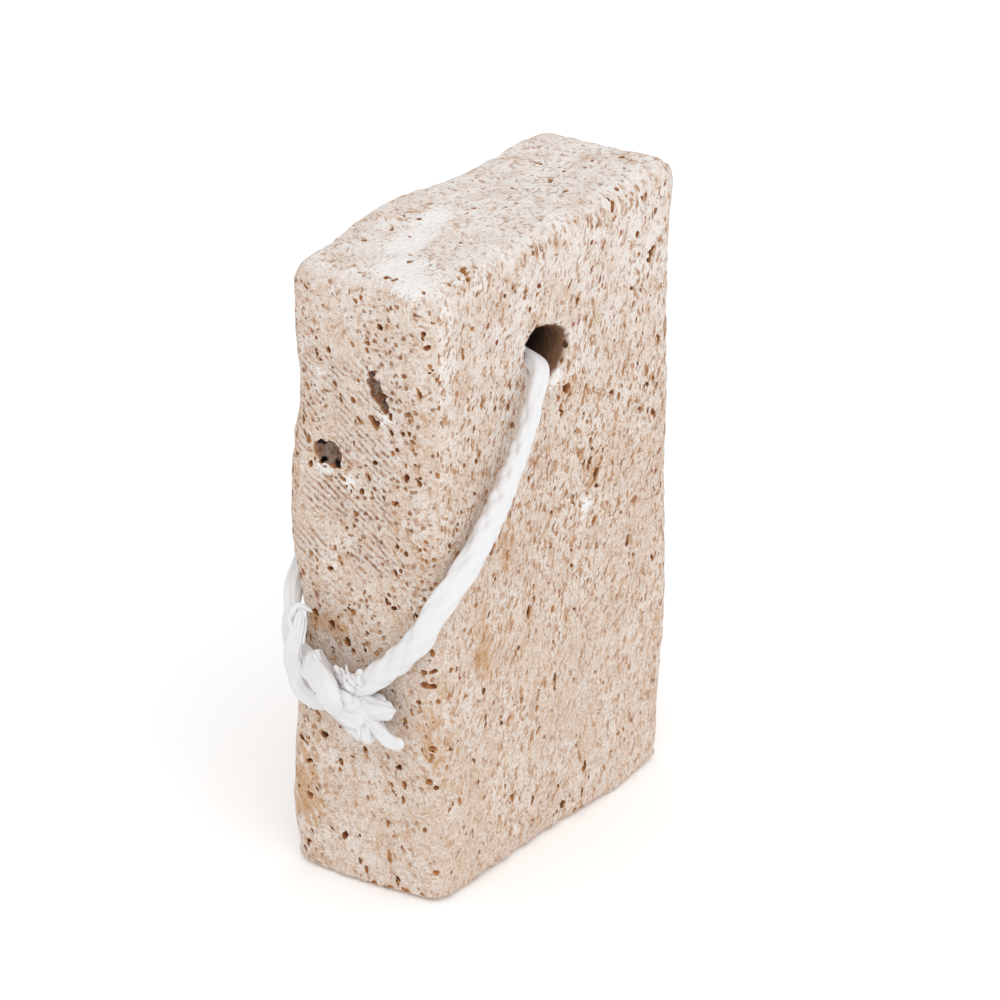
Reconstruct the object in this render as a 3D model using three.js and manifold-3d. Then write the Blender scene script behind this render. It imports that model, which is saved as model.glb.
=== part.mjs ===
// A pumice foot stone: a sawn block of pumice with worn edges, standing on one short end, and a
// white cord that goes through the hole drilled near its top and is tied round the narrow side.
// Millimetres, +Z up. The origin is the middle of the end that the stone stands on, X runs across
// the wide face and Y through the thickness.

import * as THREE from 'three';
import { mergeVertices } from 'three/addons/utils/BufferGeometryUtils.js';
import Module from 'manifold-3d';

// ---------- driving dimensions ----------

const block = { width: 62.2, thickness: 26.6, length: 101.6 };
const edgeRadius = 2.8; // worn by use, all twelve edges alike
const gridStep = 4.2; // target spacing of the stone's surface points

// How far each corner of the sawn block stands off the plain box: [x, y, z]
const cornerShift = {
  leftFrontBottom: [1.6, -0.6, 0],
  rightFrontBottom: [-1.5, 0.1, 0],
  leftBackBottom: [-0.6, 1.4, 0],
  rightBackBottom: [-1.2, 0.3, 0],
  leftFrontTop: [-0.1, -0.3, -0.6],
  rightFrontTop: [0.5, 0.3, 0],
  leftBackTop: [-0.6, -0.2, -1.5],
  rightBackTop: [0.2, -0.9, -0.9],
};

// Long, low waves left by the saw and by wear: height, turning rate along [x, y, z], starting angle
const waves = [
  { height: 0.28, rate: [1 / 7.5, 0, 1 / 11], start: 0 },
  { height: 0.22, rate: [0, -1 / 5, 1 / 6.2], start: 1.3 },
  { height: 0.2, rate: [1 / 4.6, 1 / 7, -1 / 9], start: 0 },
];

// Places where the block is knocked in, or stands proud where the depth is negative
const dents = [
  { at: [-31, 14, 2], reach: 5, depth: 1.0 }, // broken corner at the foot
  { at: [-31, 13, 80], reach: 5, depth: 0.8 }, // shallow nicks down the far upright edge
  { at: [-31, 14, 54], reach: 5, depth: 0.4 },
  { at: [-31, 13, 42.5], reach: 7, depth: 1.5 }, // where the cord bends round the edge
  { at: [-31, 6.5, 40.5], reach: 5, depth: 0.9 }, // hollow that the knot lies over
  { at: [-8, 13, 101], reach: 15, depth: -1.3 }, // low hump along the far top edge
];

// Drilled through the thickness, with a rim that has crumbled out by flare over its rimDepth
const hole = { x: -2.8, z: 81.9, radius: 5.0, flare: 0.8, rimDepth: 1.4, sides: 24 };

const cordDiameter = 4;
const cordSides = 8;
const endTrim = 1.1; // taken off each end of the cord's run, so that it just clears the knot
const runSteps = 44;
const knotSteps = { upper: 20, lower: 16 };

// The cord's middle line, from its upper frayed end to its lower one: first the front strand in
// the knot, which climbs over the back strand's far side and dives under it,
const frontStrandInKnot = [
  [-34.4, 8.9, 45.8], [-35.6, 9.0, 43.7], [-36.6, 9.6, 41.4], [-36.5, 10.7, 38.9],
  [-35.4, 11.4, 36.3], [-34.4, 11.5, 33.8], [-33.9, 10.8, 31.7], [-33.5, 9.2, 30.5],
  [-33.3, 7.2, 30.3], [-33.2, 4.5, 31.5], [-33.2, 1.2, 33.5], [-33.5, -1.8, 35.7],
  [-33.5, -4.3, 37.8], [-33.3, -6.2, 39.6], [-33.0, -8.0, 41.5],
];

// then the run up the wide front face, through the hole and down the back,
const cordRun = [
  [-32.8, -10.2, 43.9], [-32.5, -12.4, 46.9], [-32.0, -14.0, 50.5], [-30.6, -15.5, 53.5],
  [-28.2, -16.3, 56.3], [-24.8, -16.5, 58.9], [-21.4, -16.4, 61.9], [-18.2, -16.3, 65.0],
  [-15.4, -16.1, 68.1], [-12.8, -16.0, 71.3], [-10.6, -15.9, 74.7], [-9.0, -15.9, 77.9],
  [-7.9, -15.9, 80.1], [-6.5, -15.0, 81.5], [-5.4, -12.0, 81.9], [-5.1, -6.0, 81.7],
  [-5.1, 0.0, 81.5], [-5.1, 6.0, 81.5], [-5.4, 12.0, 81.3], [-6.5, 15.1, 80.3],
  [-8.4, 15.8, 77.5], [-10.8, 15.4, 72.9], [-12.8, 15.6, 68.5], [-14.6, 15.8, 64.5],
  [-16.2, 16.2, 60.5], [-18.0, 16.4, 56.5], [-20.2, 16.5, 52.5], [-22.8, 16.4, 49.3],
  [-26.0, 16.1, 46.9], [-29.0, 15.5, 44.9], [-31.0, 14.5, 42.9],
];

// and last the back strand in the knot, which crosses over the front one and ends below
const backStrandInKnot = [
  [-31.8, 13.9, 40.9], [-32.2, 12.9, 39.1], [-32.8, 11.4, 37.9],
  [-33.4, 9.2, 37.1], [-34.6, 6.8, 36.8], [-36.2, 4.2, 36.5], [-37.2, 2.2, 35.5],
  [-36.9, 1.6, 33.5], [-35.6, 1.4, 31.3], [-33.9, 0.6, 29.9], [-33.2, -0.8, 29.1],
  [-33.1, -2.8, 28.6], [-33.1, -4.8, 28.1],
];

// ---------- solids ----------

const wasm = await Module();
wasm.setup();

// A closed three.js geometry as a solid that can be cut and joined
function toSolid(geometry) {
  const bare = geometry.clone();
  bare.deleteAttribute('normal');
  bare.deleteAttribute('uv');
  const merged = mergeVertices(bare, 1e-4);
  return new wasm.Manifold(new wasm.Mesh({
    numProp: 3,
    vertProperties: new Float32Array(merged.attributes.position.array),
    triVerts: new Uint32Array(merged.index.array),
  }));
}

function toGeometry(solid) {
  const mesh = solid.getMesh();
  const geometry = new THREE.BufferGeometry();
  geometry.setAttribute('position', new THREE.Float32BufferAttribute(mesh.vertProperties, 3));
  geometry.setIndex([...mesh.triVerts]);
  geometry.computeVertexNormals();
  return geometry;
}

function named(name, geometry, material) {
  const mesh = new THREE.Mesh(geometry, material);
  mesh.name = name;
  return mesh;
}

// ---------- stone ----------

// Grid lines across one side: even over the flat, closer round the worn edge at each end
function gridLines(size) {
  const flat = size / 2 - edgeRadius;
  const count = Math.max(2, Math.round((2 * flat) / gridStep));
  const lines = [-size / 2, -flat - edgeRadius * Math.tan(Math.PI / 8)];
  for (let i = 0; i <= count; i += 1) lines.push(-flat + (2 * flat * i) / count);
  lines.push(flat + edgeRadius * Math.tan(Math.PI / 8), size / 2);
  return lines;
}

// Pulls a point of the plain block in to a ball of edgeRadius at the edges and corners
function roundOff(point) {
  const inner = new THREE.Vector3(
    THREE.MathUtils.clamp(point.x, edgeRadius - block.width / 2, block.width / 2 - edgeRadius),
    THREE.MathUtils.clamp(point.y, edgeRadius - block.thickness / 2, block.thickness / 2 - edgeRadius),
    THREE.MathUtils.clamp(point.z, edgeRadius - block.length / 2, block.length / 2 - edgeRadius),
  );
  return point.clone().sub(inner).setLength(edgeRadius).add(inner);
}

// The corner shifts blended over the block, for a point with each coordinate from -1 to 1
function blendedShift(x, y, z) {
  const shift = new THREE.Vector3();
  for (const [corner, amounts] of Object.entries(cornerShift)) {
    const share = (1 + (corner.startsWith('right') ? x : -x)) / 2
      * (1 + (corner.includes('Back') ? y : -y)) / 2
      * (1 + (corner.endsWith('Top') ? z : -z)) / 2;
    shift.add(new THREE.Vector3(...amounts).multiplyScalar(share));
  }
  return shift;
}

// How far the surface stands out at a point, from the waves and the dents together
function relief(point) {
  let height = 0;
  for (const wave of waves) {
    height += wave.height * Math.sin(point.dot(new THREE.Vector3(...wave.rate)) + wave.start);
  }
  for (const dent of dents) {
    const away = point.distanceTo(new THREE.Vector3(...dent.at)) / dent.reach;
    height -= dent.depth * Math.exp(-away * away);
  }
  return height;
}

// Outward is measured from this share of the way to a point, so that it follows the flats
const coreShare = new THREE.Vector3(0.7, 0.2, 0.8);

function makeStone() {
  const lines = [block.width, block.thickness, block.length].map(gridLines);
  const segments = lines.map((list) => list.length - 1);
  const geometry = new THREE.BoxGeometry(...segments, ...segments);
  geometry.deleteAttribute('normal');
  geometry.deleteAttribute('uv');
  const merged = mergeVertices(geometry, 1e-3);
  const position = merged.attributes.position;
  const point = new THREE.Vector3();

  for (let i = 0; i < position.count; i += 1) {
    point.fromBufferAttribute(position, i);
    const plain = new THREE.Vector3(...['x', 'y', 'z'].map((axis, k) => (
      lines[k][Math.round(point[axis] + segments[k] / 2)])));
    const surface = roundOff(plain);
    const outward = surface.clone().sub(plain.multiply(coreShare)).normalize();
    surface.add(blendedShift(
      (2 * surface.x) / block.width, (2 * surface.y) / block.thickness, (2 * surface.z) / block.length));
    surface.z += block.length / 2;

    const onFoot = surface.z < 1e-3;
    surface.addScaledVector(outward, relief(surface));
    position.setXYZ(i, surface.x, surface.y, onFoot ? 0 : Math.max(surface.z, 0));
  }
  return toSolid(merged).subtract(makeHole());
}

// The drill's path, opening out at both faces where the rim has crumbled
function makeHole() {
  const inner = block.thickness / 2 - hole.rimDepth;
  const outer = block.thickness / 2 + hole.rimDepth; // past the face, at the same slope
  const mouth = hole.radius + 2 * hole.flare;
  const profile = [
    [0, -outer], [mouth, -outer], [hole.radius, -inner], [hole.radius, inner], [mouth, outer], [0, outer],
  ].map(([radius, along]) => new THREE.Vector2(radius, along));
  const cutter = new THREE.LatheGeometry(profile, hole.sides);
  cutter.translate(hole.x, 0, hole.z);
  return toSolid(cutter);
}

// ---------- cord ----------

const cordPoints = [...frontStrandInKnot, ...cordRun, ...backStrandInKnot]
  .map((point) => new THREE.Vector3(...point));
const cordLine = new THREE.CatmullRomCurve3(cordPoints);
const runStart = frontStrandInKnot.length - 1; // where the run leaves the knot and comes back to it
const runEnd = frontStrandInKnot.length + cordRun.length;

// The cord's outer shape from one of its points to another, with the length trim left off each end
function tube(first, last, steps, trim = 0) {
  const section = new THREE.Shape();
  for (let i = 0; i < cordSides; i += 1) {
    const angle = (2 * Math.PI * i) / cordSides;
    const [x, y] = [Math.cos(angle), Math.sin(angle)].map((part) => (part * cordDiameter) / 2);
    if (i === 0) section.moveTo(x, y);
    else section.lineTo(x, y);
  }
  const fine = 8 * (last - first);
  const between = (i) => (first + ((last - first) * i) / fine) / (cordPoints.length - 1);
  const stretch = new THREE.CatmullRomCurve3(
    Array.from({ length: fine + 1 }, (_, i) => cordLine.getPoint(between(i))));
  const cut = trim / stretch.getLength();
  const extrudePath = new THREE.CatmullRomCurve3(
    Array.from({ length: steps + 1 }, (_, i) => stretch.getPointAt(cut + ((1 - 2 * cut) * i) / steps)));
  return new THREE.ExtrudeGeometry(section, { steps, extrudePath, bevelEnabled: false });
}

function makeKnot() {
  const upper = toSolid(tube(0, runStart, knotSteps.upper));
  const lower = toSolid(tube(runEnd, cordPoints.length - 1, knotSteps.lower));
  return upper.add(lower);
}

// ---------- assembly ----------

const pumice = new THREE.MeshStandardMaterial({ color: 0xd8c4b4, roughness: 0.95, metalness: 0 });
const cordYarn = new THREE.MeshStandardMaterial({ color: 0xf1f0ef, roughness: 0.6, metalness: 0 });
const knotYarn = new THREE.MeshStandardMaterial({ color: 0xe9e6e5, roughness: 0.6, metalness: 0 });

const group = new THREE.Group();
group.add(named('stone', toGeometry(makeStone()), pumice));
group.add(named('cord', tube(runStart, runEnd, runSteps, endTrim), cordYarn));
group.add(named('knot', toGeometry(makeKnot()), knotYarn));

export default group;
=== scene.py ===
import math
import random
from functools import partial

import bmesh
import bpy
import numpy as np
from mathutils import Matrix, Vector, noise
from mathutils.bvhtree import BVHTree


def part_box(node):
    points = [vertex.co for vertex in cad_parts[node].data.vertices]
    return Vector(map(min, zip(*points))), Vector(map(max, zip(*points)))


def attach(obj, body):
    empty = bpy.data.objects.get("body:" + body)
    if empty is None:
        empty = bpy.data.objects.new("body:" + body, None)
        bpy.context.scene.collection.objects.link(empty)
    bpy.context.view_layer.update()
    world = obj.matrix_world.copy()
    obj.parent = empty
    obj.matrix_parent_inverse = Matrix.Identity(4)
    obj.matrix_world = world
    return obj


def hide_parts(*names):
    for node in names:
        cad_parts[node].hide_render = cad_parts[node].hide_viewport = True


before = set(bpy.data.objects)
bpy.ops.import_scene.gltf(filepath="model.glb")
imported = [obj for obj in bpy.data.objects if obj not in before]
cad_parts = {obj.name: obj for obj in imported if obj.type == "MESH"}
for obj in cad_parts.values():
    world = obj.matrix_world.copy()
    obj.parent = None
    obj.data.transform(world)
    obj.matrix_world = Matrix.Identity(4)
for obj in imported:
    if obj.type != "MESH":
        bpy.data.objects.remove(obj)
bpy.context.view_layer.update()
stoneLow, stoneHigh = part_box("stone")
stoneMiddle = (stoneLow + stoneHigh) / 2
scene = bpy.context.scene
mm = 0.001


def linear(code):  # "#d8c4b4" as linear red, green, blue, alpha
    parts = [int(code[i : i + 2], 16) / 255 for i in (1, 3, 5)]
    return [p / 12.92 if p <= 0.04045 else ((p + 0.055) / 1.055) ** 2.4 for p in parts] + [1.0]


def addNode(tree, kind, inputs=(), **settings):
    # kind goes without ShaderNode. The inputs are in order or by name: values, sockets, or nodes, which
    # stand for their first output.
    node = tree.nodes.new(kind if "Node" in kind else "ShaderNode" + kind)
    for name, value in settings.items():
        setattr(node, name, value)
    usable = [s for s in node.inputs if s.enabled]
    named = {s.name: s for s in reversed(usable)}
    for name, value in inputs.items() if isinstance(inputs, dict) else enumerate(inputs):
        socket = named[name] if isinstance(name, str) else usable[name]
        if isinstance(value, bpy.types.Node):
            value = next(s for s in value.outputs if s.enabled)
        if isinstance(value, bpy.types.NodeSocket):
            tree.links.new(value, socket)
        else:
            socket.default_value = value
    return node


def newPiece(name, mesh):
    piece = bpy.data.objects.new(name, mesh)
    scene.collection.objects.link(piece)
    return piece


def applied(piece):  # the piece's modifiers worked into a plain mesh
    bpy.context.view_layer.update()
    graph = bpy.context.evaluated_depsgraph_get()
    mesh = bpy.data.meshes.new_from_object(piece.evaluated_get(graph), depsgraph=graph)
    piece.modifiers.clear()
    old = piece.data
    piece.data = mesh
    bpy.data.meshes.remove(old)
    return piece


def coordinates(mesh):
    values = np.empty(len(mesh.vertices) * 3)
    mesh.vertices.foreach_get("co", values)
    return values.reshape(-1, 3)


def setFloat(mesh, name, values):
    attribute = mesh.attributes.get(name) or mesh.attributes.new(name, "FLOAT", "POINT")
    attribute.data.foreach_set("value", np.asarray(values, np.float32))


cameraSettings = {
    "azimuth": -53.7,
    "elevation": 26.0,
    "distance": 1.0,
    "lens": 237.24,
    "aim": Vector((3.6, -0.2, 0.4)) * mm,  # from the middle of the stone
}


def makeCamera():
    turn = math.radians(cameraSettings["azimuth"])
    rise = math.radians(cameraSettings["elevation"])
    back = Vector((math.sin(turn) * math.cos(rise), -math.cos(turn) * math.cos(rise), math.sin(rise)))
    data = bpy.data.cameras.new("camera")
    data.lens = cameraSettings["lens"]
    data.sensor_width = 36
    data.clip_end = 20
    camera = bpy.data.objects.new("camera", data)
    camera.location = stoneMiddle + cameraSettings["aim"] + back * cameraSettings["distance"]
    camera.rotation_euler = back.to_track_quat("Z", "Y").to_euler()
    scene.collection.objects.link(camera)
    scene.camera = camera


makeCamera()
print("camera done")

# The stone, first as a block without its pores
block = {
    "voxel": 1.3 * mm,
    "smoothing": 5,
    "relief": [(4.0, 0.10), (2.5, 0.20), (1.4, 0.14)],  # length and height of each unevenness, mm
    "footFade": 0.6 * mm,  # height over which the roughness fades out towards the foot
    "shift": Vector((11.0, 3.1, 7.7)),
}
# The hole through the stone. Its edge stands in near each face.
bore = {
    "x": -2.8 * mm,
    "z": 81.9 * mm,
    "radius": 5.0 * mm,
    "lips": [(70, 2.2, 4), (195, 1.7, 4), (-60, 0.9, 5)],  # degrees round it, mm inwards and how narrow
    "lipDeep": 7 * mm,
    "lipReach": (6 * mm, 9 * mm),  # from the middle of the hole, all of it and then none of it
    "boreShadeSteps": [(0.9 * mm, 1.2 * mm), (3 * mm, 8 * mm)],  # painted shade in the hole, in two steps: how deep each starts and how far it runs
    "wall": 2.2 * mm,  # how far outside the radius its chipped wall may be
}
# The sawn foot is sharp, so its edge is moved out, the more the lower down.
foot = {"height": 2.4 * mm, "spread": (1.9 * mm, 1.6 * mm), "curve": 1.2}


def lipAt(aside, above):  # how far the edge of the hole stands in, in mm, that way from its middle
    way = np.arctan2(above, aside)
    return sum(
        reach * np.clip(np.cos(way - math.radians(degrees)), 0, 1) ** narrow
        for degrees, reach, narrow in bore["lips"]
    )


def makeBlock():
    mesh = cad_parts["stone"].data.copy()
    body = bmesh.new()
    body.from_mesh(mesh)
    bmesh.ops.remove_doubles(body, verts=body.verts, dist=1e-6)
    body.to_mesh(mesh)
    body.free()
    piece = newPiece("pumiceStone", mesh)
    remesh = piece.modifiers.new("even", "REMESH")
    remesh.mode = "VOXEL"
    remesh.voxel_size = block["voxel"]
    smooth = piece.modifiers.new("soft", "SMOOTH")
    smooth.factor = 0.5
    smooth.iterations = block["smoothing"]
    applied(piece)
    places = coordinates(piece.data)
    normals = np.array([v.normal[:] for v in piece.data.vertices])
    # uneven all over, but not at the foot
    push = [
        sum(h * noise.noise(Vector(p) / (length * mm) + block["shift"]) for length, h in block["relief"])
        for p in places
    ]
    fade = np.clip(places[:, 2] / block["footFade"], 0, 1)
    places += normals * (np.array(push) * mm * fade)[:, None]
    # the edge of the hole stands in
    aside, above = places[:, 0] - bore["x"], places[:, 2] - bore["z"]
    away = np.hypot(aside, above)
    under = np.minimum(places[:, 1] - stoneLow.y, stoneHigh.y - places[:, 1])
    whole, none = bore["lipReach"]
    near = np.clip((none - away) / (none - whole), 0, 1) * np.clip(1 - under / bore["lipDeep"], 0, 1)
    push = lipAt(aside, above) * mm * near / away
    places[:, 0] -= push * aside
    places[:, 2] -= push * above
    # and the edge of the foot stands out
    low = np.clip(1 - places[:, 2] / foot["height"], 0, 1) ** foot["curve"]
    for axis in (0, 1):
        half = (stoneHigh[axis] - stoneLow[axis]) / 2
        places[:, axis] += (places[:, axis] - stoneMiddle[axis]) / half * low * foot["spread"][axis]
    places[:, 2] = np.maximum(places[:, 2], 0)
    piece.data.vertices.foreach_set("co", places.ravel())
    piece.data.update()
    return piece


# The pores of the stone
flow = Vector((0.27, 0.45, 1.0)).normalized()  # the way the lava was drawn out, which the pores follow

# groups of pores per square centimetre, most pores in a group, least and most width in mm, least and most
# length over width, facets of each, seed
poreSizes = {
    "fine": (2.8, 2, 0.42, 0.75, 1.2, 2.6, 1, 3),
    "middle": (2.7, 3, 0.6, 1.1, 1.0, 2.2, 1, 5),
    "coarse": (0.30, 4, 0.8, 1.4, 1.0, 1.8, 2, 8),
}
poreShape = {
    "variants": 6,
    "lumps": 0.5,  # how uneven they are, as a share of their width
    "lumpScale": 2.2,
    "rarity": 1.7,  # above 1, wide ones are rare
    "flatness": (0.7, 1.1),
    "jitter": 0.35,  # how far they lean away from the flow
    "sink": (-0.24, 0.26),
    "spread": 0.6,  # of a group
}
crowd = {"wide": 0.95, "narrow": 1.8, "top": 0.5, "towardsTop": 0.35}  # share of the densities on each face

# Pits that stand out on each face: its two coordinates, width, height, lean in degrees, depth and how many
# lobes. All in mm.
pits = {
    "left": [
        (5.6, 71.0, 4.4, 3.6, 0, 1.4, 9), (4.1, 69.5, 1.4, 0.7, -35, 1.8, 2),
        (7.0, 69.3, 1.2, 0.8, 40, 1.9, 2), (7.2, 72.0, 1.0, 0.9, 0, 2.0, 2),
        (-2.4, 86.0, 1.6, 1.5, 0, 1.1, 3), (-2.7, 84.4, 2.4, 2.4, 10, 1.1, 5),
        (-3.5, 82.8, 2.5, 2.2, 20, 1.2, 5), (-4.7, 81.2, 2.0, 2.0, 35, 1.2, 4),
        (-5.8, 79.9, 1.1, 1.6, 40, 1.0, 2), (-4.6, 81.9, 0.8, 0.8, 0, 2.2, 1),
        (7.3, 86.8, 0.9, 2.6, 35, 1.2, 3), (-2.8, 71.7, 1.1, 1.7, 0, 1.3, 2),
        (-8.5, 70.9, 1.3, 1.6, 0, 1.3, 3), (5.3, 87.9, 0.9, 1.2, 0, 0.9, 1),
        (-3.4, 78.3, 1.4, 1.3, 20, 1.1, 2), (-7.9, 77.9, 0.9, 0.8, 0, 1.1, 1),
        (-11.4, 94.6, 0.9, 1.0, 0, 0.9, 1), (-11.7, 92.3, 1.1, 1.2, 0, 0.9, 2),
        (-12.2, 88.4, 0.8, 2.0, -12, 0.8, 2), (2.3, 46.4, 0.8, 2.1, 0, 1.3, 2),
        (-8.0, 58.2, 0.9, 1.0, 0, 1.1, 1), (-6.4, 58.9, 0.8, 1.0, 0, 1.0, 1),
        (-5.6, 48.4, 1.2, 1.3, 0, 1.2, 2), (11.6, 49.1, 1.0, 1.2, 0, 1.0, 1),
        (5.4, 52.2, 1.1, 1.1, 0, 1.1, 2), (7.5, 23.4, 1.5, 1.2, 0, 1.3, 3), (3.7, 7.4, 1.4, 1.2, 0, 1.3, 3),
        (10.3, 18.2, 1.3, 1.1, 0, 1.1, 2), (-5.9, 21.7, 1.2, 1.4, 0, 1.2, 2),
        (6.3, 42.3, 1.7, 1.4, 20, 1.4, 3), (9.4, 43.4, 1.6, 1.2, 30, 1.1, 3),
        (3.2, 40.3, 1.9, 1.5, 40, 1.2, 3), (2.0, 39.2, 0.9, 0.8, 0, 1.6, 1),
        (-12.0, 39.4, 1.1, 1.1, 0, 1.0, 2), (-11.8, 36.9, 1.2, 1.0, 0, 1.1, 2),
        (-9.8, 34.0, 1.0, 1.0, 0, 1.0, 1), (9.0, 68.4, 0.9, 1.3, 20, 1.0, 1),
        (-6.5, 66.0, 1.1, 1.4, 25, 1.0, 2), (-0.2, 66.3, 0.9, 1.4, 25, 0.9, 1),
    ],
    "front": [
        (7.9, 59.6, 1.4, 2.4, 20, 0.9, 4), (9.4, 57.0, 1.6, 2.5, 20, 1.1, 4),
        (10.0, 54.9, 1.0, 1.0, 0, 1.6, 2), (8.6, 61.6, 0.9, 1.5, -10, 1.2, 2),
        (24.4, 87.9, 1.7, 3.0, 25, 1.1, 4), (4.1, 46.2, 1.0, 1.2, 0, 1.2, 2),
        (4.1, 43.7, 1.1, 0.9, 0, 1.6, 2), (4.5, 36.3, 0.9, 1.4, 0, 1.0, 2),
        (-27.3, 25.9, 0.7, 1.9, 0, 1.0, 2), (1.9, 3.7, 1.6, 1.6, 0, 1.1, 3), (1.8, 74.4, 1.9, 1.5, 0, 1.2, 3),
        (13.5, 69.2, 1.3, 1.4, 0, 1.1, 2), (-13.8, 95.0, 1.0, 1.2, 0, 0.9, 2),
        (-11.6, 95.6, 0.9, 1.0, 0, 0.9, 1), (8.3, 95.7, 0.9, 0.9, 0, 0.9, 1),
        (-6.4, 99.2, 1.0, 0.9, 0, 0.8, 1), (19.8, 83.9, 1.1, 1.3, 0, 1.0, 2),
        (22.9, 67.0, 1.1, 1.4, 0, 1.0, 2), (20.9, 63.6, 1.0, 1.5, 10, 1.0, 2),
        (25.6, 48.2, 1.0, 2.0, 10, 1.1, 2), (25.3, 36.4, 1.0, 1.8, 5, 1.0, 2),
        (19.4, 39.2, 0.8, 3.6, 5, 1.1, 4), (-5.6, 42.1, 0.9, 1.4, 0, 0.9, 1),
        (-20.5, 70.7, 0.9, 1.8, 10, 1.0, 2), (-21.2, 65.8, 1.0, 1.7, 10, 1.0, 2),
        (-24.6, 64.2, 0.9, 1.5, 10, 0.9, 2), (-27.5, 59.8, 1.0, 2.2, 10, 1.0, 3),
        (-30.0, 37.1, 1.0, 1.1, 0, 1.1, 1),
    ],
    "top": [
        (-28.2, -3.6, 1.0, 3.4, -8, 0.8, 5), (-21.0, -11.8, 1.4, 3.4, 35, 0.9, 4),
        (11.7, -6.0, 1.4, 0.7, 0, 0.9, 2), (-5.3, 6.4, 1.2, 0.9, 0, 0.7, 2), (3.1, -3.2, 0.9, 0.8, 0, 0.7, 1),
        (17.3, -11.5, 0.9, 0.9, 0, 0.7, 1),
    ],
}
# A pit's lobes: how far each turns on from the last, their width as a share of the pit's, their height as a
# share of their width, how far they spread over it, and how far out of the stone they start
pitShape = {"turn": 2.4, "width": (0.55, 0.85), "height": (0.8, 1.1), "spread": (0.62, 0.4), "out": 0.12}
# Chips broken off the edges: how many, and their least and most width in mm
chips = {
    "foot": (100, 0.7, 2.0),
    "upright": (26, 0.45, 1.2),
    "top": (60, 0.45, 1.2),
    "rim": (26, 0.8, 1.5),
    "footHeights": (-0.2, 0.7),  # mm
    "footOut": 0.35,  # mm, how far out of the stone their middles are
    "uprightHeights": (3, 98),  # mm
    "rimTurn": (-40, 170),  # degrees round the hole
    "rimReach": (0.6, 0.25),  # mm outside its radius, and how much more or less
    "rimDeep": (0.4, 1.6),  # mm in from the face
    "sunk": 0.16 * mm,
    "seed": 6,
}

# Where the colour changes: the place and the reach on each axis, in mm
patches = {
    "stain": [
        ((-13.3, -13, 53.5), (3.2, 6, 9.0)), ((-19.0, -13, 39.0), (4.5, 6, 9.0)),
        ((0.8, -13, 89.0), (3.4, 6, 4.5)), ((-4.9, -13, 88.6), (2.0, 6, 3.0)),
        ((-31, 6.6, 42.0), (5, 6.5, 4.4)), ((3, -13, 74.6), (3, 6, 2.5)), ((-31, -11.6, 28), (5, 2.6, 9)),
        ((9.0, -13, 57.5), (3.0, 6, 4.0)), ((-24, -13, 84), (4.0, 6, 7.0)), ((-31, 11, 14), (5, 5, 12)),
    ],
    "chalk": [
        ((7.6, -13, 52.6), (2.0, 6, 2.0)), ((-31, -4.6, 79.4), (5, 1.8, 1.5)),
        ((-31, 2.2, 67.3), (5, 2.0, 1.7)), ((-31, 6.2, 68.2), (5, 2.4, 1.5)),
        ((-31, 7.4, 84.3), (5, 2.2, 1.2)), ((-0.9, -13, 77.3), (2.7, 6, 2.0)), ((-29, -8, 101), (6, 5.5, 3)),
        ((-25, -2.6, 101), (6.5, 5.5, 3)), ((-17, 1.5, 101), (9, 4.2, 3)), ((-9, 3.2, 101), (7, 3.4, 3)),
    ],
    "dust": [((20, -13, 92), (14, 6, 12))],
    "grey": [((-31, 5.7, 71.1), (5, 3.0, 2.4)), ((-31, -3.3, 83.5), (5, 2.2, 4.2))],
    # painted shade in the deepest, narrowest pits
    "pitShade": [
        ((-30.5, 7.4, 72.2), (3, 1.0, 0.9)), ((-30.5, 4.1, 69.4), (3, 1.4, 0.8)),
        ((-30.5, 7.0, 69.2), (3, 1.2, 0.9)), ((-30.5, -4.6, 81.9), (3, 0.7, 0.7)),
    ],
}


def onSurface(surface, face, a, b):  # the place on the block, and the way out of it
    start, way = {
        "left": ((-0.1, a * mm, b * mm), (1, 0, 0)),
        "front": ((a * mm, -0.1, b * mm), (0, 1, 0)),
        "top": ((a * mm, b * mm, 0.2), (0, 0, -1)),
        "right": ((0.1, a * mm, b * mm), (-1, 0, 0)),
        "back": ((a * mm, 0.1, b * mm), (0, -1, 0)),
    }[face]
    place = surface.ray_cast(Vector(start), Vector(way))[0]
    return place, -Vector(way)


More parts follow.
